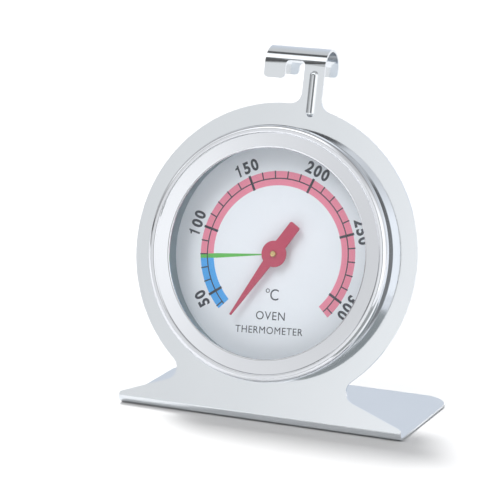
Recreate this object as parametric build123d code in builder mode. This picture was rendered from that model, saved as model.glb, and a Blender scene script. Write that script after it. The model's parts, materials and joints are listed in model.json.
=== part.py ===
"""Dial oven thermometer on a pressed stand with a shelf hook.

Millimetres, +Z up, -Y towards the reader of the dial. The origin is the middle of the foot's
underside. The head stands on the leaning upright, so most pieces are drawn on the head plane:
x to the reader's right, y up the upright, z out of the dial, 0 at the upright's front face.
"""
from build123d import *
from math import cos, radians, sin, tan
import os

os.makedirs("parts", exist_ok=True)

# stand
lean = radians(13.8)            # how far the upright leans back over the foot
sheet = 0.6
foot_width, foot_depth, foot_corner = 72.8, 37.4, 7.0
bend_radius = 1.8               # outer radius of the bend between foot and upright
disc_radius, disc_height = 36.0, 40.4   # height is measured up the upright, from the ground
opening_radius = 28.55
flare_rise, flare_slope, flare_corner, waist_fillet = 0.7, radians(20), 0.9, 3.0
neck_left, neck_right, neck_fillet = 2.8, 7.9, 2.8
bead_centre, bead_radius, bead_low, bead_high, bead_rise = 5.4, 1.31, 32.9, 44.3, 0.6
hook_left, hook_right, hook_radius, hook_axis = -7.5, 7.9, 4.6, 45.2
front_tab_bottom, rear_tab_bottom = 41.8, 43.4
notch_left, notch_top, rear_notch_right = -2.1, 46.2, 2.5
notch_reach, tab_corner = 1.6, 1.0      # how deep the notch is cut, each side of its sheet

# head: radii, and heights above the upright's front face
gauge = 0.5                     # thickness of the drawn head pieces
shell_front_radius, shell_front_top = 29.55, 4.4
shell_rear_radius, shell_rear_end = 28.5, -10.2
skirt_radius, bezel_gap, lip_radius = 30.05, 0.05, 24.95
shoulder_radius, shoulder_low, shoulder_high = 30.28, 3.9, 5.05     # middle of the sheet
rim_radius, rim_height, groove_radius, groove_height, lip_height = 29.45, 5.42, 28.85, 5.1, 4.85
lens_radius, lens_front, lens_rear = 28.9, 4.6, 2.6
gasket_front, gasket_inner_radius = 2.55, 26.7
spacer_top, spacer_inner_radius = 2.15, 26.4
dial_front, dial_thickness, dial_radius, dial_hole = -2.2, 0.4, 27.9, 2.2
ring_radius, ring_thickness, ring_teeth, ring_edge = 31.2, 0.8, 12, 0.3
ring_slot_middle, ring_slot_length, ring_slot_width = 29.0, 2.2, 0.8
cover_front, cover_back, cover_roll = -5.6, -12.6, 1.4
cover_dish_outer, cover_dish_inner, cover_dish_depth, cover_dish_bend = 24.5, 23.8, 0.5, 0.4
slot_count, slot_width, slot_inner, slot_outer = 12, 2.0, 9.5, 22.5

# works: the spindle turns in two bushes, the coil turns the spindle
spindle_radius, running_clearance, end_play = 0.75, 0.04, 0.1
plate_front, plate_thickness, plate_skirt = -2.6, 0.8, 2.2
window_distance, window_length, window_width = 20.0, 24.0, 6.5      # openings in the plate
bush_radius, bush_flange_radius, bush_flange = 2.0, 3.2, 0.5
front_bush_tail, rear_bush_tail = 1.6, 0.2      # how far each bush passes its sheet
coil_front, coil_back = -5.6, -8.6
coil_start, coil_pitch, coil_turns, coil_strip = 2.1, 1.1, 8, 0.25
collet_radius, boss_radius, post_radius = 1.9, 1.6, 0.9
strap_front, strap_thickness, strap_width, strap_reach = -9.2, 0.8, 7.0, 14.4
strap_foot = 5.2
rivet_radius, rivet_head_radius, rivet_head = 1.0, 1.7, 0.7
clip_front, clip_thickness, clip_radius = -10.45, 0.35, 1.9

# pointer: angles are anticlockwise from the reader's right
pointer_back, pointer_thickness, pointer_hub = -0.35, 0.4, 3.15
pointer_angle, tip_length, tip_width, root_width = 238.5, 18.3, 0.5, 1.9
tail_angle, tail_length, tail_root, tail_width = 57.5, 8.8, 2.3, 2.9
tip_round = 0.2                 # corner radius as a share of the arm's width
pin_front, pin_stub = 0.75, 0.2    # how far the spindle passes the hub, and its clip

head = Plane(
    origin=(0, -foot_depth / 2 + disc_height * sin(lean), disc_height * cos(lean)),
    x_dir=(1, 0, 0),
    z_dir=(0, -cos(lean), sin(lean)),
)
head_axis = Axis(head.origin, head.z_dir)
turning = Plane(origin=head.origin, x_dir=head.x_dir, z_dir=-head.y_dir)    # x radius, y height
side = Plane(origin=head.origin, x_dir=-head.z_dir, z_dir=head.x_dir)       # x back, y up


def turned_head(angle, height):
    """The head plane at a height, turned so that its x points along an angle in degrees."""
    along = head.x_dir * cos(radians(angle)) + head.y_dir * sin(radians(angle))
    return Plane(origin=head.origin + head.z_dir * height, x_dir=along, z_dir=head.z_dir)


def ring(outer, inner, front, back):
    """A disc, flat ring or tube about the head's axis, between two heights."""
    with BuildPart() as made:
        with BuildSketch(head.offset(back)):
            Circle(outer)
            if inner:
                Circle(inner, mode=Mode.SUBTRACT)
        extrude(amount=front - back)
    return made


def turned_sheet(points, bends, thickness=gauge):
    """Thin sheet turned about the head's axis, its middle line through (radius, height) points."""
    with BuildPart() as made:
        with BuildSketch(turning):
            with BuildLine():
                FilletPolyline(*points, radius=bends)
            trace(line_width=thickness)
        revolve(axis=head_axis)
    return made


def finish(made, name):
    made.part.label = name
    export_step(made.part, f"parts/{name}.step")


# ---- stand bracket ----
half_width = foot_width / 2
bend_top = bend_radius * (1 + sin(lean)) / cos(lean) - disc_height
flare_y = bend_top + flare_rise
waist_x = disc_radius / 2
waist_y = flare_y + (half_width - waist_x) * tan(flare_slope)


def near(x_low, x_high, y_low, y_high):
    """Picks what lies in a window of the sketch, on either side of the middle."""
    return lambda v: x_low < abs(v.X) < x_high and y_low < v.Y < y_high


with BuildPart() as stand_bracket:
    # foot, bend and the lowest strip of the upright
    with BuildSketch(side):
        with BuildLine():
            FilletPolyline(
                (foot_depth * cos(lean), foot_depth * sin(lean) - disc_height),
                (0, -disc_height),
                (0, bend_top + 0.2),
                radius=bend_radius,
            )
            offset(amount=sheet, side=Side.RIGHT)
        make_face()
    extrude(amount=half_width, both=True)
    fillet(stand_bracket.edges().filter_by(Axis.Z).group_by(Axis.Y)[-1], foot_corner)

    # upright: disc, flared root and neck
    with BuildSketch(head):
        Circle(disc_radius)
        with BuildLine():
            Polyline(
                (-half_width, bend_top), (half_width, bend_top), (half_width, flare_y),
                (waist_x, waist_y), (-waist_x, waist_y), (-half_width, flare_y), close=True,
            )
        make_face()
        with Locations(((neck_left + neck_right) / 2, (hook_axis + disc_radius / 2) / 2)):
            Rectangle(neck_right - neck_left, hook_axis - disc_radius / 2)
        fillet(vertices().filter_by(near(half_width - 1, half_width + 1, flare_y - 0.1, -30)), flare_corner)
        fillet(vertices().filter_by(near(waist_x - 1, waist_x + 3, -33, -29)), waist_fillet)
        fillet(vertices().filter_by(near(neck_left - 1, neck_right + 1, 34, 37)), neck_fillet)
    extrude(amount=-sheet)

    # shelf hook: the top of the sheet rolled over backwards
    with BuildSketch(side.offset(hook_left)):
        with BuildLine():
            Line((0, front_tab_bottom), (0, hook_axis))
            CenterArc((hook_radius, hook_axis), hook_radius, 180, -180)
            Line((2 * hook_radius, hook_axis), (2 * hook_radius, rear_tab_bottom))
            offset(amount=sheet, side=Side.RIGHT)
        make_face()
    extrude(amount=hook_right - hook_left)

    # notches that leave a front tab on the left and a rear tab at each end
    for notch_right, notch_bottom, depth in (
        (neck_left, front_tab_bottom, 0),
        (rear_notch_right, rear_tab_bottom, -2 * hook_radius),
    ):
        with BuildSketch(head.offset(depth)):
            middle = (notch_left + notch_right) / 2
            with Locations((middle, notch_bottom - 1)):
                Rectangle(notch_right - notch_left, notch_top - notch_bottom + 1,
                          align=(Align.CENTER, Align.MIN))
            fillet(vertices().group_by(Axis.Y)[-1], tab_corner)
        extrude(amount=notch_reach, both=True, mode=Mode.SUBTRACT)
    across = stand_bracket.edges().filter_by(head_axis)
    for tab_bottom in (front_tab_bottom, rear_tab_bottom):
        fillet(
            across.filter_by(lambda e: abs(head.to_local_coords(e.center()).Y - tab_bottom) < 0.01
                             and not neck_left - 0.1 < e.center().X < neck_right - 0.1),
            tab_corner,
        )

    # opening for the head
    with BuildSketch(head):
        Circle(opening_radius)
    extrude(amount=-sheet, mode=Mode.SUBTRACT)


def bead_roll(radius, low, high, floor):
    """The part of a round-ended bar, lying in the neck, that stands above a height."""
    sunk = bead_radius - bead_rise
    with BuildPart() as made:
        with BuildSketch(head.offset(-sunk)):
            with BuildLine():
                Polyline(
                    (bead_centre, low), (bead_centre + radius, low), (bead_centre + radius, high),
                    (bead_centre, high), close=True,
                )
            make_face()
            fillet(vertices().filter_by(lambda v: v.X > bead_centre + radius / 2), radius * 0.999)
        revolve(axis=Axis(bead_foot, head.y_dir))
        split(bisect_by=head.offset(floor), keep=Keep.TOP)
    return made.part


# stiffening bead, raised at the front and hollow behind
bead_foot = head.origin + head.x_dir * bead_centre - head.z_dir * (bead_radius - bead_rise)
with stand_bracket:
    add(bead_roll(bead_radius, bead_low, bead_high, -sheet / 2))
    add(bead_roll(bead_radius - sheet, bead_low + sheet, bead_high - sheet, -2 * sheet),
        mode=Mode.SUBTRACT)
finish(stand_bracket, "stand_bracket")

# ---- case ----
middle_front = shell_front_radius - gauge / 2
middle_rear = shell_rear_radius - gauge / 2
case_shell = turned_sheet(
    [(middle_front, shell_front_top), (middle_front, gauge / 2), (middle_rear, gauge / 2),
     (middle_rear, shell_rear_end)],
    [0.3, 0.3],
)
finish(case_shell, "case_shell")

# toothed ring that grips the shell behind the upright
with BuildPart() as retaining_ring:
    with BuildSketch(head.offset(-sheet - ring_thickness)):
        Circle(ring_radius)
        Circle(shell_rear_radius, mode=Mode.SUBTRACT)
        with PolarLocations(ring_slot_middle, ring_teeth):
            SlotOverall(ring_slot_length, ring_slot_width, mode=Mode.SUBTRACT)
    extrude(amount=ring_thickness)
    fillet(retaining_ring.edges().filter_by(GeomType.CIRCLE).group_by(
        lambda e: e.radius)[-1].sort_by(head_axis)[0], ring_edge)
finish(retaining_ring, "retaining_ring")

# vented cap pushed over the shell from behind
cap_middle = shell_rear_radius + gauge / 2
cover_middle = cover_back + gauge / 2
with BuildPart() as rear_cover:
    with BuildSketch(turning):
        with BuildLine():
            FilletPolyline(
                (cap_middle, cover_front), (cap_middle, cover_middle),
                (cover_dish_outer, cover_middle), (cover_dish_inner, cover_middle + cover_dish_depth),
                (0, cover_middle + cover_dish_depth),
                radius=[cover_roll, cover_dish_bend, cover_dish_bend],
            )
        trace(line_width=gauge)
    revolve(axis=head_axis)
    with BuildSketch(head.offset(cover_back)):
        with PolarLocations((slot_inner + slot_outer) / 2, slot_count):
            SlotOverall(slot_outer - slot_inner, slot_width)
    extrude(amount=cover_dish_depth + 2 * gauge, mode=Mode.SUBTRACT)
finish(rear_cover, "rear_cover")

# ---- window ----
bezel_ring = turned_sheet(
    [(skirt_radius - gauge / 2, bezel_gap), (shoulder_radius, shoulder_low),
     (shoulder_radius - 0.3, shoulder_high), (rim_radius, rim_height), (groove_radius, rim_height),
     (groove_radius - gauge / 2, groove_height), (lip_radius + gauge / 2, lip_height),
     (lip_radius + gauge / 2, lens_front)],
    [2.5, 0.6, 0.15, 0.15, 0.15, 0.15],
)
finish(bezel_ring, "bezel_ring")

finish(ring(lens_radius, 0, lens_front, lens_rear), "lens_glass")
finish(ring(lens_radius, gasket_inner_radius, gasket_front, spacer_top), "lens_gasket")

spacer_middle = spacer_inner_radius + gauge / 2
spacer_ring = turned_sheet(
    [(lens_radius, spacer_top - gauge / 2), (spacer_middle, spacer_top - gauge / 2),
     (spacer_middle, dial_front)],
    [0.3],
)
finish(spacer_ring, "spacer_ring")

# ---- dial and works ----
finish(ring(dial_radius, dial_hole, dial_front, dial_front - dial_thickness), "dial_plate")

plate_back = plate_front - plate_thickness
bore_radius = spindle_radius + running_clearance
post_place = (coil_start + coil_turns * coil_pitch, 0.5)
foot_middle, foot_end = strap_reach + strap_foot / 2 + 0.4, strap_reach + strap_foot
feet = [(x, 0) for x in (-foot_middle, foot_middle)]

# pan with a rim, a window each side of the strap and holes for bush, post and rivets
with BuildPart() as movement_plate:
    with BuildSketch(head.offset(plate_front)):
        Circle(dial_radius)
    extrude(amount=-plate_thickness)
    with BuildSketch(head.offset(plate_back)):
        Circle(dial_radius)
        Circle(dial_radius - plate_thickness, mode=Mode.SUBTRACT)
    extrude(amount=-plate_skirt)
    with BuildSketch(head.offset(plate_front)):
        Circle(bush_radius)
        with Locations(post_place):
            Circle(post_radius)
        with Locations(*feet):
            Circle(rivet_radius)
        for turn in (90, 270):
            with PolarLocations(window_distance, 1, start_angle=turn):
                SlotOverall(window_length, window_width, rotation=90)
    extrude(amount=-plate_thickness, mode=Mode.SUBTRACT)
finish(movement_plate, "movement_plate")


def bush(front, back, flange_front, name):
    """A flanged brass bush, bored with running clearance for the spindle."""
    with BuildPart() as made:
        with BuildSketch(head.offset(back)):
            Circle(bush_radius)
        extrude(amount=front - back)
        with BuildSketch(head.offset(flange_front - bush_flange)):
            Circle(bush_flange_radius)
        extrude(amount=bush_flange)
        with BuildSketch(head.offset(back)):
            Circle(bore_radius)
        extrude(amount=front - back, mode=Mode.SUBTRACT)
    finish(made, name)


strap_back = strap_front - strap_thickness
bush(plate_front, plate_back - front_bush_tail, plate_back, "front_bearing")
bush(strap_front + bush_flange, strap_back - rear_bush_tail, strap_front + bush_flange,
     "rear_bearing")

with BuildPart() as bridge_strap:
    strap_profile = Plane(
        origin=head.origin - head.y_dir * strap_width / 2, x_dir=turning.x_dir, z_dir=turning.z_dir
    )
    foot_level = plate_back - strap_thickness / 2
    span_level = strap_front - strap_thickness / 2
    with BuildSketch(strap_profile):
        with BuildLine():
            FilletPolyline(
                (foot_end, foot_level), (strap_reach, foot_level), (strap_reach, span_level),
                (-strap_reach, span_level), (-strap_reach, foot_level), (-foot_end, foot_level),
                radius=[0.6, 1.4, 1.4, 0.6],
            )
        trace(line_width=strap_thickness)
    extrude(amount=-strap_width)
    with BuildSketch(head.offset(plate_back)):
        with Locations(*feet):
            Circle(rivet_radius)
        Circle(bush_radius)
    extrude(amount=strap_back - plate_back, mode=Mode.SUBTRACT)
finish(bridge_strap, "bridge_strap")

with BuildPart() as bridge_rivets:
    with BuildSketch(head.offset(plate_front)):
        with Locations(*feet):
            Circle(rivet_radius)
    extrude(amount=-plate_thickness - strap_thickness)
    with BuildSketch(head.offset(plate_back - strap_thickness)):
        with Locations(*feet):
            Circle(rivet_head_radius)
    extrude(amount=-rivet_head)
    fillet(bridge_rivets.edges().group_by(head_axis)[0], rivet_head * 0.7)
finish(bridge_rivets, "bridge_rivets")

# flat spiral of half circles: every half turn its radius grows by half a pitch
coil_end = coil_start + coil_turns * coil_pitch
with BuildPart() as bimetal_coil:
    with BuildSketch(head.offset(coil_back)):
        with BuildLine():
            for half_turn in range(2 * coil_turns):
                odd = half_turn % 2
                for edge in (-coil_strip / 2, coil_strip / 2):
                    CenterArc(
                        (odd * coil_pitch / 2, 0),
                        coil_start + half_turn * coil_pitch / 2 + edge,
                        180 * odd,
                        180,
                    )
            for end in (coil_start, coil_end):
                Line((end - coil_strip / 2, 0), (end + coil_strip / 2, 0))
        make_face()
    extrude(amount=coil_front - coil_back)
finish(bimetal_coil, "bimetal_coil")

# post that grips the coil's outer end, riveted in the pan
with BuildPart() as coil_anchor:
    with BuildSketch(head.offset(plate_front)):
        with Locations(post_place):
            Circle(post_radius)
    extrude(amount=coil_back - plate_front)
finish(coil_anchor, "coil_anchor")

# ---- what turns: spindle, collet, boss and pointer ----
finish(ring(spindle_radius, 0, pin_front, clip_front - clip_thickness - pin_stub), "spindle")
finish(ring(collet_radius, spindle_radius, coil_front, coil_back), "coil_collet")
finish(ring(bush_radius, spindle_radius, plate_back - front_bush_tail - end_play, coil_front),
       "spacer_washer")
finish(ring(boss_radius, spindle_radius, pointer_back, dial_front + end_play),
       "pointer_boss")
finish(ring(clip_radius, spindle_radius, clip_front, clip_front - clip_thickness), "spindle_clip")

with BuildPart() as pointer:
    with BuildSketch(head.offset(pointer_back)):
        Circle(pointer_hub)
    extrude(amount=pointer_thickness)
    for angle, length, root, end in (
        (pointer_angle, tip_length, root_width, tip_width),
        (tail_angle, tail_length, tail_root, tail_width),
    ):
        with BuildSketch(turned_head(angle, pointer_back)):
            with BuildLine():
                Polyline((0, -root / 2), (length, -end / 2), (length, end / 2), (0, root / 2), close=True)
            make_face()
            fillet(vertices().group_by(Axis.X)[-1], min(root, end) * tip_round)
        extrude(amount=pointer_thickness)
    with BuildSketch(head.offset(pointer_back)):
        Circle(spindle_radius)
    extrude(amount=pointer_thickness, mode=Mode.SUBTRACT)
finish(pointer, "pointer")
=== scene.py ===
"""Dial oven thermometer: a satin steel stand with a shelf hook, a drawn steel head, a printed
dial behind glass and a red pointer turned by a bimetal coil.

Metres. The head is drawn in millimetres on its own plane, x to the reader's right, y up the
upright, z out of the dial, and its meshes are then placed in the shared frame.
"""
import json
from math import asin, cos, pi, radians, sin, tan

import bmesh
import bpy
from mathutils import Matrix, Vector


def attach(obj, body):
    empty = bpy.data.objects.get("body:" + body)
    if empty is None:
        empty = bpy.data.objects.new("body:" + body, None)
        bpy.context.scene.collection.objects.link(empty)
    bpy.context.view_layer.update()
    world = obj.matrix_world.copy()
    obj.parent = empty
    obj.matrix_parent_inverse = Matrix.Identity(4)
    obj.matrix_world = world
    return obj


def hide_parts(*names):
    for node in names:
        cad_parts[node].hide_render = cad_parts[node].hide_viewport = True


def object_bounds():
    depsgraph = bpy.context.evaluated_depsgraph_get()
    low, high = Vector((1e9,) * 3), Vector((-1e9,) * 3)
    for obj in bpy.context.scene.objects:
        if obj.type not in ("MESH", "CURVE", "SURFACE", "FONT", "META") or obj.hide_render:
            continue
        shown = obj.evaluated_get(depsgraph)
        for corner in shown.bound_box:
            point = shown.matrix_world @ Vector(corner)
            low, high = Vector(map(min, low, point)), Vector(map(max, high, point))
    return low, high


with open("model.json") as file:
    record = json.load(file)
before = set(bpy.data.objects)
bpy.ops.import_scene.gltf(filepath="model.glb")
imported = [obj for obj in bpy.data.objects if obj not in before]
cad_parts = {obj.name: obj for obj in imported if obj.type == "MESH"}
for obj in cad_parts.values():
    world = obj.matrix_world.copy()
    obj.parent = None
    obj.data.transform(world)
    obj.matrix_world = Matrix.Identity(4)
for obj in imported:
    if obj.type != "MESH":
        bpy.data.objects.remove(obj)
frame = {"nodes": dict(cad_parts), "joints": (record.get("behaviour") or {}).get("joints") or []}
cad_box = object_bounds()
MM = 0.001

# ---- the head's own plane ----
turn = frame["joints"][0]
out = -Vector(turn["axis"]).normalized()
across = Vector((1, 0, 0))
HEAD = Matrix((across, out.cross(across), out)).transposed().to_4x4()
HEAD.translation = Vector(turn["pos_m"])
LEAN = asin(out.z)

# ---- camera ----
AZIMUTH, ELEVATION, ROLL = radians(22.78), radians(13.60), radians(0.89)
DISTANCE = 0.5939
back = Vector((
    sin(AZIMUTH) * cos(ELEVATION), -cos(AZIMUTH) * cos(ELEVATION), sin(ELEVATION)
))
camera_data = bpy.data.cameras.new("camera")
camera_data.lens = 180
camera_data.sensor_width = 36
camera_data.clip_start = 0.05
camera_data.shift_x = -0.0472
camera_data.shift_y = 0.0078
camera = bpy.data.objects.new("camera", camera_data)
bpy.context.scene.collection.objects.link(camera)
aim = HEAD.translation + back * DISTANCE
camera.matrix_world = Matrix.Translation(aim) @ back.to_track_quat("Z", "Y").to_matrix().to_4x4() \
    @ Matrix.Rotation(ROLL, 4, "Z")
bpy.context.scene.camera = camera


# ---- shader writing ----
class Value:
    """A shader socket. An expression on values adds the Math nodes it needs."""

    def __init__(self, finish, socket):
        self.finish, self.socket = finish, socket

    def _maths(self, operation, *others):
        return self.finish.node("Math", {"operation": operation}, {
            number: value for number, value in enumerate((self, *others))
        })

    def __add__(self, other):
        return self._maths("ADD", other)

    __radd__ = __add__

    def __sub__(self, other):
        return self._maths("SUBTRACT", other)

    def __rsub__(self, other):
        return self.finish.node("Math", {"operation": "SUBTRACT"}, {0: other, 1: self})

    def __mul__(self, other):
        return self._maths("MULTIPLY", other)

    __rmul__ = __mul__

    def __pow__(self, other):
        return self._maths("POWER", other)


class Finish:
    """A material and the nodes that make it."""

    def __init__(self, name, **constant):
        self.material = bpy.data.materials.new(name)
        self.material.use_nodes = True
        self.tree = self.material.node_tree
        self.shader = self.tree.nodes["Principled BSDF"]
        for socket, value in constant.items():
            self.shader.inputs[socket.replace("_", " ")].default_value = value

    def node(self, kind, settings=None, inputs=None, output=0):
        """Adds a node, its settings first, then the values or links of its sockets."""
        made = self.tree.nodes.new("ShaderNode" + kind)
        for name, value in (settings or {}).items():
            if name == "stops":
                ramp = made.color_ramp
                while len(ramp.elements) < len(value):
                    ramp.elements.new(0.5)
                for element, (place, colour) in zip(ramp.elements, value):
                    element.position, element.color = place, (*colour, 1)
            else:
                setattr(made, name, value)
        for name, value in (inputs or {}).items():
            if isinstance(value, Value):
                self.tree.links.new(value.socket, made.inputs[name])
            else:
                made.inputs[name].default_value = value
        return Value(self, made.outputs[output])

    def noise(self, scale, stretch=(1, 1, 1), detail=4.0, roughness=0.5):
        """Noise on object coordinates, its size in waves per metre, stretched along an axis."""
        place = self.node("Mapping", {}, {
            "Vector": self.node("TexCoord", output=3), "Scale": stretch,
        })
        return self.node("TexNoise", {}, {
            "Vector": place, "Scale": scale, "Detail": detail, "Roughness": roughness,
        })

    def mix(self, factor, first, second):
        """A colour between two colours."""
        made = self.tree.nodes.new("ShaderNodeMix")
        made.data_type = "RGBA"
        for name, value in (("Factor_Float", factor), ("A_Color", first), ("B_Color", second)):
            socket = next(s for s in made.inputs if s.identifier == name)
            if isinstance(value, Value):
                self.tree.links.new(value.socket, socket)
            else:
                socket.default_value = value if name == "Factor_Float" else (*value, 1)
        socket = next(s for s in made.outputs if s.identifier == "Result_Color")
        return Value(self, socket)

    def drive(self, socket, value):
        self.tree.links.new(value.socket, self.shader.inputs[socket])

    def bump(self, height, strength, distance):
        self.drive("Normal", self.node("Bump", {}, {
            "Strength": strength, "Distance": distance, "Height": height,
        }))

    def clamped(self, value, low, high):
        """A noise value of 0 to 1 spread between two others."""
        return self.node("MapRange", {}, {"Value": value, "To Min": low, "To Max": high})


# clouding in waves per metre, depths of grain in metres
CLOUDING, PAINT_CLOUDING, DENT_DEPTH, PEEL_DEPTH = 60.0, 140.0, 0.00002, 0.00001


def metal(name, dark, light, smooth, rough, grain=900.0, stretch=(1, 1, 1), strength=0.08):
    """Bare metal with a fine grain, and slow clouding in its colour and roughness."""
    made = Finish(name, Metallic=1.0)
    slow = made.noise(CLOUDING, detail=3.0)
    fine = made.noise(grain, stretch, detail=6.0, roughness=0.6)
    made.drive("Base Color", made.mix(made.clamped(slow, 0.0, 1.0), dark, light))
    made.drive("Roughness", made.clamped(fine * 0.65 + slow * 0.35, smooth, rough))
    made.bump(fine, strength, DENT_DEPTH)
    return made.material


satin_steel = metal("satin steel", (0.71, 0.745, 0.78), (0.76, 0.79, 0.82), 0.07, 0.13,
                    grain=700.0, stretch=(1, 9, 9))
drawn_steel = metal("drawn steel", (0.60, 0.62, 0.64), (0.68, 0.70, 0.72), 0.16, 0.30)
polished_steel = metal("polished steel", (0.73, 0.75, 0.79), (0.765, 0.785, 0.82), 0.05, 0.11,
                       grain=500.0, strength=0.03)
works_steel = metal("works steel", (0.48, 0.49, 0.50), (0.60, 0.61, 0.62), 0.25, 0.42)
bearing_brass = metal("bearing brass", (0.70, 0.50, 0.21), (0.80, 0.60, 0.30), 0.20, 0.34)
bimetal = metal("bimetal", (0.50, 0.33, 0.22), (0.62, 0.46, 0.32), 0.25, 0.42)
spacer_metal = metal("spacer metal", (0.38, 0.45, 0.48), (0.44, 0.51, 0.54), 0.35, 0.5)


def paint(name, low, high, smooth, rough, grain=2500.0, strength=0.05):
    """Paint, ink or enamel with a slight orange peel and a little clouding."""
    made = Finish(name)
    slow = made.noise(PAINT_CLOUDING, detail=3.0)
    fine = made.noise(grain, detail=3.0)
    made.drive("Base Color", made.mix(slow, low, high))
    made.drive("Roughness", made.clamped(fine, smooth, rough))
    made.bump(fine, strength, PEEL_DEPTH)
    return made.material


dial_enamel = paint("dial enamel", (0.81, 0.84, 0.91), (0.85, 0.875, 0.94), 0.35, 0.45)
dial_ink = paint("dial ink", (0.020, 0.027, 0.048), (0.035, 0.042, 0.066), 0.5, 0.6)
hot_ink = paint("hot band ink", (0.80, 0.23, 0.34), (0.85, 0.26, 0.38), 0.5, 0.6)
cold_ink = paint("cold band ink", (0.045, 0.36, 0.84), (0.065, 0.40, 0.90), 0.5, 0.6)
green_ink = paint("green ink", (0.08, 0.46, 0.06), (0.12, 0.52, 0.09), 0.5, 0.6)
pointer_red = paint("pointer red", (0.45, 0.035, 0.09), (0.51, 0.05, 0.115), 0.30, 0.42)
gasket_fibre = paint("gasket fibre", (0.12, 0.12, 0.12), (0.20, 0.20, 0.19), 0.8, 0.95, grain=4000.0,
                     strength=0.4)

window_glass = Finish("window glass")
grazing = window_glass.node("LayerWeight", {}, {"Blend": 0.5}, output=1)
pane = window_glass.node("MixShader", {}, {
    0: grazing ** 5 * 0.9 + 0.04,
    1: window_glass.node("BsdfTransparent", {}, {"Color": (0.985, 0.992, 0.99, 1)}),
    2: window_glass.node("BsdfAnisotropic", {}, {"Roughness": 0.02}),
})
window_glass.tree.links.new(
    pane.socket, window_glass.tree.nodes["Material Output"].inputs["Surface"]
)
window_glass = window_glass.material


# ---- pieces ----
GAUGE, CUT_EDGE, BEND_STEPS = 0.5, 0.12, 7      # of the drawn sheet pieces


def piece(name, mesh, material, nodes=(), body="root", placed=True, sharp=32.0):
    """Turns a mesh drawn on the head plane, in millimetres, into a finished piece."""
    if not isinstance(mesh, bpy.types.Mesh):
        made = bpy.data.meshes.new(name)
        mesh.to_mesh(made)
        mesh.free()
        mesh = made
    mesh.name = name
    if placed:
        mesh.transform(HEAD @ Matrix.Scale(MM, 4))
    mesh.polygons.foreach_set("use_smooth", [True] * len(mesh.polygons))
    mesh.set_sharp_from_angle(angle=radians(sharp))
    mesh.materials.clear()
    mesh.materials.append(material)
    made = bpy.data.objects.new(name, mesh)
    bpy.context.scene.collection.objects.link(made)
    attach(made, body)
    if nodes:
        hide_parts(*nodes)
    return made


def rounded(points, radii, steps=6, closed=False):
    """A path with its corners rounded, as a list of points."""
    path = []
    count = len(points)
    for i, point in enumerate(points):
        here = Vector(point)
        radius = radii[i] if i < len(radii) else 0
        if not radius or (not closed and i in (0, count - 1)):
            path.append(here)
            continue
        before, after = Vector(points[i - 1]) - here, Vector(points[(i + 1) % count]) - here
        bend = before.angle(after) / 2
        reach = radius / tan(bend)
        start, end = here + before.normalized() * reach, here + after.normalized() * reach
        centre = here + (before.normalized() + after.normalized()).normalized() * radius / sin(bend)
        first = start - centre
        last = end - centre
        sweep = first.angle_signed(last)
        for step in range(steps + 1):
            share = step / steps
            path.append(centre + Matrix.Rotation(-sweep * share, 2) @ first)
    return path


def sheet_profile(middle, thickness, ease):
    """The closed outline of thin sheet about a middle line, its cut ends a little rounded."""
    sides = ([], [])
    for i, point in enumerate(middle):
        ahead = (middle[min(i + 1, len(middle) - 1)] - middle[max(i - 1, 0)]).normalized()
        normal = Vector((-ahead.y, ahead.x)) * thickness / 2
        sides[0].append(point + normal)
        sides[1].append(point - normal)
    outline = sides[0] + sides[1][::-1]
    n = len(middle)
    radii = [0] * (2 * n)
    for corner in (0, n - 1, n, 2 * n - 1):
        radii[corner] = ease
    return rounded(outline, radii, steps=3, closed=True)


def supported(outline, gap=0.04):
    """The outline with a point near each end of its long runs, so that flats shade flat."""
    path = []
    for here, there in zip(outline, outline[1:] + outline[:1]):
        path.append(here)
        run = there - here
        if run.length > 5 * gap:
            step = run.normalized() * gap
            path += [here + step, there - step]
    return path


def lathe(outline, around=180):
    """Turns a closed outline of (radius, height) points about the head's axis."""
    outline = supported(outline)
    made = bmesh.new()
    loops = []
    for turn_step in range(around):
        angle = 2 * pi * turn_step / around
        loops.append([
            made.verts.new((p[0] * cos(angle), p[0] * sin(angle), p[1])) for p in outline
        ])
    for here, there in zip(loops, loops[1:] + loops[:1]):
        for i in range(len(outline)):
            j = (i + 1) % len(outline)
            if outline[i][0] < 1e-6 and outline[j][0] < 1e-6:
                continue
            made.faces.new((here[i], there[i], there[j], here[j]))
    bmesh.ops.remove_doubles(made, verts=made.verts, dist=1e-6)
    bmesh.ops.dissolve_degenerate(made, dist=1e-6, edges=made.edges)
    bmesh.ops.recalc_face_normals(made, faces=made.faces)
    return made


def turned_sheet(points, bends):
    """Thin sheet turned about the head's axis, its middle line through (radius, height) points."""
    return lathe(sheet_profile(rounded(points, [0, *bends], BEND_STEPS), GAUGE, CUT_EDGE))


def plate_outline(outer, inner, front, back, ease):
    """The cut through a flat ring, its four corners eased."""
    return rounded(
        [(inner, front), (outer, front), (outer, back), (inner, back)], [ease] * 4, 3, closed=True
    )


def ring(outer, inner, front, back, ease=0.08):
    """A flat ring with eased edges, or a disc where it has no inner radius."""
    if inner:
        return lathe(plate_outline(outer, inner, front, back, ease))
    return lathe(rounded([(0, front), (outer, front), (outer, back), (0, back)],
                         [0, ease, ease, 0], 3, closed=True))


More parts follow.
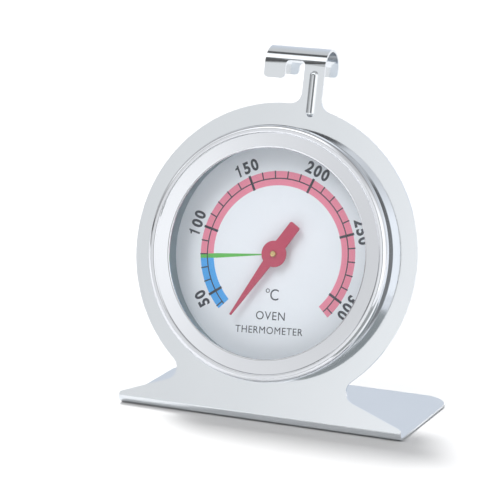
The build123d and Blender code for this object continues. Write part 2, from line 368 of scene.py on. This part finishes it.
def cad_copy(node, name, material, ease):
    """A merged copy of a CAD node with its sharp edges eased."""
    mesh = frame["nodes"][node].data.copy()
    work = bmesh.new()
    work.from_mesh(mesh)
    for layer in list(work.loops.layers.uv.values()):
        work.loops.layers.uv.remove(layer)
    bmesh.ops.remove_doubles(work, verts=work.verts, dist=2e-6)
    bmesh.ops.dissolve_degenerate(work, dist=1e-7, edges=work.edges)
    bmesh.ops.dissolve_limit(work, angle_limit=radians(0.4), verts=work.verts, edges=work.edges)
    clean = bpy.data.meshes.new(name)
    work.to_mesh(clean)
    work.free()
    made = piece(name, clean, material, [node], placed=False)
    bevel = made.modifiers.new("eased edges", "BEVEL")
    bevel.width = ease * MM
    bevel.segments = 2
    bevel.limit_method = "ANGLE"
    bevel.angle_limit = radians(30)
    bevel.use_clamp_overlap = True
    bevel.harden_normals = True
    made.modifiers.new("even shading", "WEIGHTED_NORMAL").keep_sharp = True


# stand
cad_copy("stand_bracket", "stand", satin_steel, 0.1)

# case: shell through the upright, toothed ring and vented cap behind it
SHELL_FRONT, SHELL_REAR = 29.55, 28.5
piece("shell", turned_sheet(
    [(SHELL_FRONT - GAUGE / 2, 4.4), (SHELL_FRONT - GAUGE / 2, GAUGE / 2),
     (SHELL_REAR - GAUGE / 2, GAUGE / 2), (SHELL_REAR - GAUGE / 2, -10.2)], [0.3, 0.3]),
      drawn_steel, ["case_shell"])
cad_copy("retaining_ring", "toothed_ring", drawn_steel, 0.06)
cad_copy("rear_cover", "vented_cap", drawn_steel, 0.08)

# bezel
piece("bezel", turned_sheet(
    [(29.80, 0.05), (30.28, 4.1), (30.02, 5.1), (29.45, 5.41), (28.85, 5.41), (28.6, 5.1),
     (25.2, 4.85), (25.2, 4.6)], [1.6, 0.6, 0.15, 0.15, 0.15, 0.15]),
      polished_steel, ["bezel_ring"])

# window
piece("window", ring(28.9, 0, 4.6, 2.6, 0.15), window_glass, ["lens_glass"])
piece("window_gasket", ring(28.9, 26.7, 2.55, 2.15, 0.05), gasket_fibre, ["lens_gasket"])
piece("inner_spacer", turned_sheet(
    [(28.9, 1.9), (26.65, 1.9), (26.65, -2.2)], [0.3]), spacer_metal, ["spacer_ring"])

# ---- dial ----
DIAL, DIAL_TURN = -2.2, radians(3.2)
INK = 0.02
piece("dial", ring(27.9, 2.2, DIAL, DIAL - 0.4, 0.06), dial_enamel, ["dial_plate"])

FIRST_MARK, MARK_ANGLE, DEGREES_EACH = 50, 215.0, 0.976


def scale_angle(temperature):
    """Where a temperature stands on the scale, anticlockwise from the reader's right."""
    return radians(MARK_ANGLE - DEGREES_EACH * (temperature - FIRST_MARK))


def band(inner, outer, start, end, height=INK, steps=120, lift=0.0):
    """A printed sector between two radii and two angles."""
    made = bmesh.new()
    low, high = DIAL + lift, DIAL + lift + height
    rows = []
    for i in range(steps + 1):
        angle = start + (end - start) * i / steps
        c, s = cos(angle), sin(angle)
        rows.append([made.verts.new((r * c, r * s, h)) for r, h in (
            (inner, low), (outer, low), (outer, high), (inner, high))])
    for a, b in zip(rows, rows[1:]):
        for i in range(4):
            j = (i + 1) % 4
            made.faces.new((a[i], b[i], b[j], a[j]))
    made.faces.new(rows[0])
    made.faces.new(rows[-1][::-1])
    bmesh.ops.recalc_face_normals(made, faces=made.faces)
    return made


COLD_START, COLD_END, HOT_END = radians(227), scale_angle(80), radians(-43)
piece("cold_band", band(16.45, 19.85, COLD_START, COLD_END, steps=30), cold_ink)
piece("hot_band", band(16.45, 19.85, COLD_END, HOT_END), hot_ink)
piece("scale_line", band(17.96, 18.24, COLD_START, HOT_END, 0.015, steps=150, lift=INK), dial_ink)


def solid(points, front, back, ease=0.0):
    """A flat shape with its outline given in order, between two heights, top edge eased."""
    made = bmesh.new()
    levels = [(0, back), (0, front)] if not ease else [
        (0, back), (0, front - ease), (ease * 0.3, front - ease * 0.3), (ease, front)]
    rows = []
    count = len(points)
    for inset, height in levels:
        row = []
        for i, p in enumerate(points):
            a = (Vector(p) - Vector(points[i - 1])).normalized()
            b = (Vector(points[(i + 1) % count]) - Vector(p)).normalized()
            inward = Vector((-a.y - b.y, a.x + b.x)).normalized()
            reach = inset / max(0.4, inward.dot(Vector((-a.y, a.x))))
            place = Vector(p) + inward * reach
            row.append(made.verts.new((place.x, place.y, height)))
        rows.append(row)
    for a, b in zip(rows, rows[1:]):
        for i in range(count):
            j = (i + 1) % count
            made.faces.new((a[i], a[j], b[j], b[i]))
    made.faces.new(rows[0][::-1])
    made.faces.new(rows[-1])
    bmesh.ops.recalc_face_normals(made, faces=made.faces)
    return made


def about(angle, points):
    """Points given along and across a direction."""
    c, s = cos(angle), sin(angle)
    return [(a * c - b * s, a * s + b * c) for a, b in points]


WEDGE = radians(187.2)
piece("green_wedge", solid(about(WEDGE, [
    (3.5, -0.13), (15.6, -0.55), (19.9, -0.48), (19.9, 0.48), (15.6, 0.55), (3.5, 0.13)]),
    DIAL + INK * 1.3, DIAL), green_ink)


# scale marks: a Geometry Nodes tree repeats one printed bar along the scale
def tree_input(tree, name, kind, value):
    socket = tree.interface.new_socket(name, in_out="INPUT", socket_type=kind)
    socket.default_value = value
    return socket.identifier


def scale_marks_tree():
    """Bars of one size, at equal steps of angle about the head's axis."""
    tree = bpy.data.node_groups.new("scale marks", "GeometryNodeTree")
    tree.interface.new_socket("Geometry", in_out="OUTPUT", socket_type="NodeSocketGeometry")
    sizes = {name: tree_input(tree, name, kind, value) for name, kind, value in (
        ("Marks", "NodeSocketInt", 10), ("First Angle", "NodeSocketFloat", 0.0),
        ("Step Angle", "NodeSocketFloat", 0.1), ("Inner Radius", "NodeSocketFloat", 18.0),
        ("Outer Radius", "NodeSocketFloat", 20.0), ("Width", "NodeSocketFloat", 0.2),
        ("Thickness", "NodeSocketFloat", 0.02), ("Base Height", "NodeSocketFloat", 0.0),
    )}
    ink = tree.interface.new_socket("Ink", in_out="INPUT", socket_type="NodeSocketMaterial")
    sizes["Ink"] = ink.identifier
    nodes, link = tree.nodes, tree.links.new
    given = nodes.new("NodeGroupInput")

    def add(kind, settings=None, links=None):
        made = nodes.new(kind)
        for key, value in (settings or {}).items():
            setattr(made, key, value)
        for key, value in (links or {}).items():
            if hasattr(value, "links"):
                link(value, made.inputs[key])
            else:
                made.inputs[key].default_value = value
        return made

    def maths(operation, a, b):
        return add("ShaderNodeMath", {"operation": operation}, {0: a, 1: b}).outputs[0]

    length = maths("SUBTRACT", given.outputs["Outer Radius"], given.outputs["Inner Radius"])
    size = add("ShaderNodeCombineXYZ", {}, {
        "X": length, "Y": given.outputs["Width"], "Z": given.outputs["Thickness"]}).outputs[0]
    bar = add("GeometryNodeMeshCube", {}, {"Size": size}).outputs["Mesh"]
    middle = maths("MULTIPLY", maths("ADD", given.outputs["Outer Radius"],
                                     given.outputs["Inner Radius"]), 0.5)
    rise = maths("ADD", given.outputs["Base Height"],
                 maths("MULTIPLY", given.outputs["Thickness"], 0.5))
    offset = add("ShaderNodeCombineXYZ", {}, {"X": middle, "Z": rise}).outputs[0]
    bar = add("GeometryNodeTransform", {}, {"Geometry": bar, "Translation": offset}).outputs[0]
    points = add("GeometryNodePoints", {}, {"Count": given.outputs["Marks"]}).outputs[0]
    number = add("GeometryNodeInputIndex").outputs[0]
    angle = maths("ADD", given.outputs["First Angle"],
                  maths("MULTIPLY", number, given.outputs["Step Angle"]))
    spin = add("ShaderNodeCombineXYZ", {}, {"Z": angle}).outputs[0]
    turned = add("FunctionNodeEulerToRotation", {}, {0: spin}).outputs[0]
    placed = add("GeometryNodeInstanceOnPoints", {}, {
        "Points": points, "Instance": bar, "Rotation": turned}).outputs[0]
    real = add("GeometryNodeRealizeInstances", {}, {"Geometry": placed}).outputs[0]
    inked = add("GeometryNodeSetMaterial", {}, {
        "Geometry": real, "Material": given.outputs["Ink"]}).outputs[0]
    link(inked, nodes.new("NodeGroupOutput").inputs[0])
    return tree, sizes


def grown(name, tree, sizes, values):
    """Runs a Geometry Nodes tree with its inputs set, and returns the plain mesh it makes."""
    seed = bpy.data.objects.new(name, bpy.data.meshes.new(name))
    bpy.context.scene.collection.objects.link(seed)
    modifier = seed.modifiers.new(name, "NODES")
    modifier.node_group = tree
    for key, value in values.items():
        modifier[sizes[key]] = value
    depsgraph = bpy.context.evaluated_depsgraph_get()
    mesh = bpy.data.meshes.new_from_object(seed.evaluated_get(depsgraph))
    bpy.data.objects.remove(seed)
    return mesh


marks_tree, marks_sizes = scale_marks_tree()
STEP = radians(DEGREES_EACH)
for name, first, step, count, inner, outer, width in (
    ("minor_marks", 40, 10, 28, 18.1, 19.95, 0.30),
    ("major_marks", 50, 50, 6, 16.35, 20.1, 0.60),
):
    piece(name, grown(name, marks_tree, marks_sizes, {
        "Marks": count, "First Angle": scale_angle(first), "Step Angle": -STEP * step,
        "Inner Radius": inner, "Outer Radius": outer, "Width": width, "Thickness": 0.018,
        "Base Height": DIAL + INK, "Ink": dial_ink,
    }), dial_ink)


def lettering(body, height, x_squeeze=1.0, weight=0.0, spacing=1.0):
    """Printed characters, centred on the origin, as a mesh."""
    text = bpy.data.curves.new(body, "FONT")
    text.body = body
    text.size = height
    text.align_x, text.align_y = "CENTER", "CENTER"
    text.offset = weight
    text.space_character = spacing
    text.extrude = INK / 2
    text.resolution_u = 6
    holder = bpy.data.objects.new(body, text)
    bpy.context.scene.collection.objects.link(holder)
    bpy.context.view_layer.update()
    mesh = bpy.data.meshes.new_from_object(
        holder.evaluated_get(bpy.context.evaluated_depsgraph_get()))
    bpy.data.objects.remove(holder)
    xs = [v.co.x for v in mesh.vertices]
    ys = [v.co.y for v in mesh.vertices]
    grow = height / (max(ys) - min(ys))
    mesh.transform(Matrix.Translation((-(min(xs) + max(xs)) / 2, -(min(ys) + max(ys)) / 2, 0)))
    mesh.transform(Matrix.Diagonal((grow * x_squeeze, grow, 1, 1)))
    mesh.transform(Matrix.Translation((0, 0, DIAL + INK / 2)))
    return mesh


def joined(meshes):
    """Several meshes as one, with doubled points merged."""
    made = bmesh.new()
    for mesh in meshes:
        made.from_mesh(mesh)
        bpy.data.meshes.remove(mesh)
    bmesh.ops.remove_doubles(made, verts=made.verts, dist=1e-5)
    return made


NUMERAL_RADIUS, NUMERAL_HEIGHT, FIGURE_STEP, STROKE = 22.15, 2.95, 2.18, 0.46
figure_one = bpy.data.meshes.new("figure one")
ONE_TOP, FLAG = NUMERAL_HEIGHT / 2, 0.72
one = solid([
    (0.30, -ONE_TOP), (0.30, ONE_TOP), (-0.02, ONE_TOP), (-0.16, ONE_TOP - 0.36),
    (-FLAG, ONE_TOP - 0.62), (-FLAG, ONE_TOP - 0.95), (0.30 - STROKE, ONE_TOP - 0.88),
    (0.30 - STROKE, -ONE_TOP)][::-1], DIAL + INK, DIAL)
one.to_mesh(figure_one)
one.free()
numerals = []
for temperature in range(50, 301, 50):
    angle = scale_angle(temperature)
    figures = str(temperature)
    for place, figure in enumerate(figures):
        if figure == "1":
            mesh = figure_one.copy()
        else:
            mesh = lettering(figure, NUMERAL_HEIGHT, 0.92, 0.11)
        mesh.transform(Matrix.Translation(((place - (len(figures) - 1) / 2) * FIGURE_STEP, 0, 0)))
        mesh.transform(Matrix.Rotation(angle - pi / 2, 4, "Z"))
        mesh.transform(Matrix.Translation(
            (NUMERAL_RADIUS * cos(angle), NUMERAL_RADIUS * sin(angle), 0)))
        numerals.append(mesh)
bpy.data.meshes.remove(figure_one)
piece("numerals", joined(numerals), dial_ink)

words = []
for body, x, y, height, squeeze in (
    ("C", 0.45, -9.7, 2.7, 0.9), ("OVEN", 0.0, -14.8, 2.0, 0.95), ("THERMOMETER", 0.0, -18.3, 1.7, 0.95),
):
    mesh = lettering(body, height, squeeze, 0.0, 1.1)
    mesh.transform(Matrix.Rotation(DIAL_TURN, 4, "Z"))
    mesh.transform(Matrix.Translation((x, y, 0)))
    words.append(mesh)
words = joined(words)
degree = band(0.33, 0.52, 0, 2 * pi, steps=24)
degree_mesh = bpy.data.meshes.new("degree")
bmesh.ops.remove_doubles(degree, verts=degree.verts, dist=1e-5)
degree.to_mesh(degree_mesh)
degree.free()
degree_mesh.transform(Matrix.Translation((-1.35, -8.9, 0)))
words.from_mesh(degree_mesh)
piece("lettering", words, dial_ink)

# ---- pointer and what turns with it ----
POINTER_FRONT, POINTER_BACK, HUB = 0.05, -0.35, 3.15


def arm_path(angle, length, root, end, corner):
    """Outline of a tapering arm from the hub's middle, its end corners rounded."""
    return about(angle, [tuple(p) for p in rounded(
        [(0, -root / 2), (length, -end / 2), (length, end / 2), (0, root / 2)],
        [0, corner, corner, 0], 4, closed=True)])


def pointer_outline():
    """Hub and both arms as one outline, so that the paint has no seams."""
    outline = []
    arms = ((radians(57.5), 8.8, 2.3, 2.9, 0.4), (radians(238.5), 18.3, 1.8, 0.5, 0.12))
    for n, (angle, length, root, end, corner) in enumerate(arms):
        slope = (end - root) / 2 / length
        leave = asin(root / 2 / HUB)
        outline += [p for p in arm_path(angle, length, root, end, corner)
                    if Vector(p).length > HUB * 1.02]
        start = angle + leave + slope
        following = arms[(n + 1) % 2]
        stop = following[0] - asin(following[2] / 2 / HUB)
        while stop < start:
            stop += 2 * pi
        for i in range(1, 24):
            turned = start + (stop - start) * i / 24
            outline.append((HUB * cos(turned), HUB * sin(turned)))
    return outline


piece("pointer_hand", solid(pointer_outline(), POINTER_FRONT, POINTER_BACK, 0.1), pointer_red,
      ["pointer"], "turning", sharp=50)
piece("pointer_boss_bush", ring(1.6, 0.75, POINTER_BACK, DIAL + 0.1, 0.1), bearing_brass,
      ["pointer_boss"], "turning")
piece("spindle_pin", lathe(rounded(
    [(0, 0.75), (0.75, 0.75), (0.75, -11.0), (0, -11.0)], [0, 0.3, 0.15, 0], 4, closed=True), 48),
      bearing_brass, ["spindle"], "turning")

# ---- works, seen through the vents ----
for node, material in (
    ("movement_plate", works_steel), ("bridge_strap", works_steel), ("bridge_rivets", works_steel),
    ("coil_anchor", works_steel), ("front_bearing", bearing_brass), ("rear_bearing", bearing_brass),
    ("bimetal_coil", bimetal), ("coil_collet", bearing_brass), ("spacer_washer", works_steel),
    ("spindle_clip", works_steel),
):
    mesh = frame["nodes"][node].data
    for i in range(len(mesh.materials)):
        mesh.materials[i] = material
    if not mesh.materials:
        mesh.materials.append(material)

# ---- floor and light ----
floor_finish = Finish("floor", Roughness=0.9)
floor_finish.drive("Base Color", floor_finish.mix(
    floor_finish.noise(3.0, detail=2.0), (0.57, 0.57, 0.575), (0.59, 0.59, 0.59)))
floor_mesh = bpy.data.meshes.new("floor")
floor_mesh.from_pydata([(-6, -6, 0), (6, -6, 0), (6, 6, 0), (-6, 6, 0)], [], [(0, 1, 2, 3)])
floor_mesh.transform(Matrix.Translation((0, 0, cad_box[0][2] - 0.0001)))
floor_mesh.materials.append(floor_finish.material)
floor = bpy.data.objects.new("floor", floor_mesh)
bpy.context.scene.collection.objects.link(floor)

world = bpy.data.worlds.new("studio")
world.use_nodes = True
bpy.context.scene.world = world


class Room(Finish):
    """The studio round the object: how bright it is in each direction."""

    def __init__(self, made):
        self.tree = made.node_tree
        self.light = self.tree.nodes["Background"]

    def ramp(self, angle, stops, low=-180.0, high=180.0):
        """Brightness along an angle in degrees, from (angle, brightness) stops."""
        share = self.node("MapRange", {}, {"Value": angle, "From Min": radians(low),
                                           "From Max": radians(high)})
        return self.node("ValToRGB", {"stops": [
            ((at - low) / (high - low), (bright / BRIGHTEST,) * 3) for at, bright in stops
        ]}, {0: share})


BRIGHTEST = 2.0
room = Room(world)
compass = room.node("TexCoord", {}, {}, output=0)
direction = room.node("SeparateXYZ", {}, {0: compass})
x, y, z = (Value(room, direction.socket.node.outputs[i]) for i in range(3))
# round the horizon: 0 is straight in front, positive to the right
level = room.ramp(x._maths("ARCTAN2", 0 - y), [
    (-180, 0.85), (-120, 0.55), (-75, 0.48), (-45, 0.64), (-31, 0.80), (-22, 0.96), (-13, 1.35),
    (26, 1.50), (60, 1.40), (100, 0.80), (150, 0.80), (180, 0.85)]) * room.node("MapRange", {}, {
        "Value": z, "From Min": 0.5, "From Max": 0.8, "To Min": 1.0, "To Max": 0.45})
# over the top: 0 is the horizon in front, 90 straight up, 180 the horizon behind
rise = z._maths("ARCTAN2", 0 - y)
above = room.ramp(rise, [
    (14, 1.00), (22, 0.80), (32, 0.70), (46, 1.10), (51, 1.50), (75, 1.50),
    (79, 0.10), (91, 0.12), (97, 0.74), (150, 0.74)])
high = room.node("MapRange", {"interpolation_type": "SMOOTHSTEP"}, {
    "Value": z, "From Min": sin(radians(13)), "From Max": sin(radians(26))}) * room.node(
    "MapRange", {}, {"Value": x, "From Min": 0.12, "From Max": -0.05})
# a dark gap between the front panel and the overhead one, to the left of the middle
gap = room.ramp(rise, [(25, 0), (29, BRIGHTEST), (45, BRIGHTEST), (49, 0)]) * room.node(
    "MapRange", {}, {"Value": x, "From Min": -0.10, "From Max": -0.20})
# the dark opening in the front panel that the camera looks through
opening = Vector((sin(radians(9)) * cos(LEAN), -cos(radians(9)) * cos(LEAN), sin(LEAN)))
opening = room.node("VectorMath", {"operation": "DOT_PRODUCT"}, {0: compass, 1: opening}, output=1)
opening = room.node("MapRange", {"interpolation_type": "SMOOTHSTEP"}, {
    "Value": opening, "From Min": cos(radians(22)), "From Max": cos(radians(18))})
shade = room.node("Math", {"operation": "MAXIMUM"}, {0: gap * 0.85, 1: opening * 0.8})
lit = room.mix(shade, room.mix(high, level, above), (0, 0, 0))
cool = room.node("MapRange", {}, {"Value": y, "From Min": 0.3, "From Max": 0.8})
lit = room.node("Mix", {"data_type": "RGBA", "blend_type": "MULTIPLY"}, {
    0: cool, 6: lit, 7: (1.02, 1.08, 1.18, 1)}, output=2)
room.tree.links.new(lit.socket, room.light.inputs["Color"])
room.light.inputs["Strength"].default_value = BRIGHTEST


def lamp(name, kind, place, target, power):
    """A lamp at a place, turned to its target and left out of reflections."""
    data = bpy.data.lights.new(name, kind)
    data.energy = power
    made = bpy.data.objects.new(name, data)
    bpy.context.scene.collection.objects.link(made)
    made.matrix_world = Matrix.Translation(place) @ (
        Vector(place) - Vector(target)).to_track_quat("Z", "Y").to_matrix().to_4x4()
    made.visible_glossy = False
    return data


key = lamp("key", "AREA", (-0.30, -0.75, 0.85), HEAD.translation, 3.9)
key.shape = "RECTANGLE"
key.size = key.size_y = 0.5
lamp("overhead", "SUN", (-0.36, 0.32, 0.88), (0, 0, 0), 4.1).angle = radians(16)

# a dark card on the floor in front, seen only as a reflection in the side of the bezel
card_finish = Finish("card", Roughness=0.9)
card_finish.drive("Base Color", card_finish.mix(
    card_finish.noise(8.0, detail=2.0), (0.17, 0.18, 0.175), (0.20, 0.21, 0.205)))
card_mesh = bpy.data.meshes.new("card")
card_mesh.from_pydata([(-0.02, -0.30, 0), (0.16, -0.30, 0), (0.16, -0.05, 0), (-0.02, -0.05, 0)],
                      [], [(0, 1, 2, 3)])
card_mesh.transform(Matrix.Translation((0, 0, cad_box[0][2] - 0.00005)))
card_mesh.materials.append(card_finish.material)
card = bpy.data.objects.new("card", card_mesh)
bpy.context.scene.collection.objects.link(card)
card.visible_camera = card.visible_diffuse = card.visible_shadow = False
bpy.context.scene.view_settings.view_transform = "Standard"
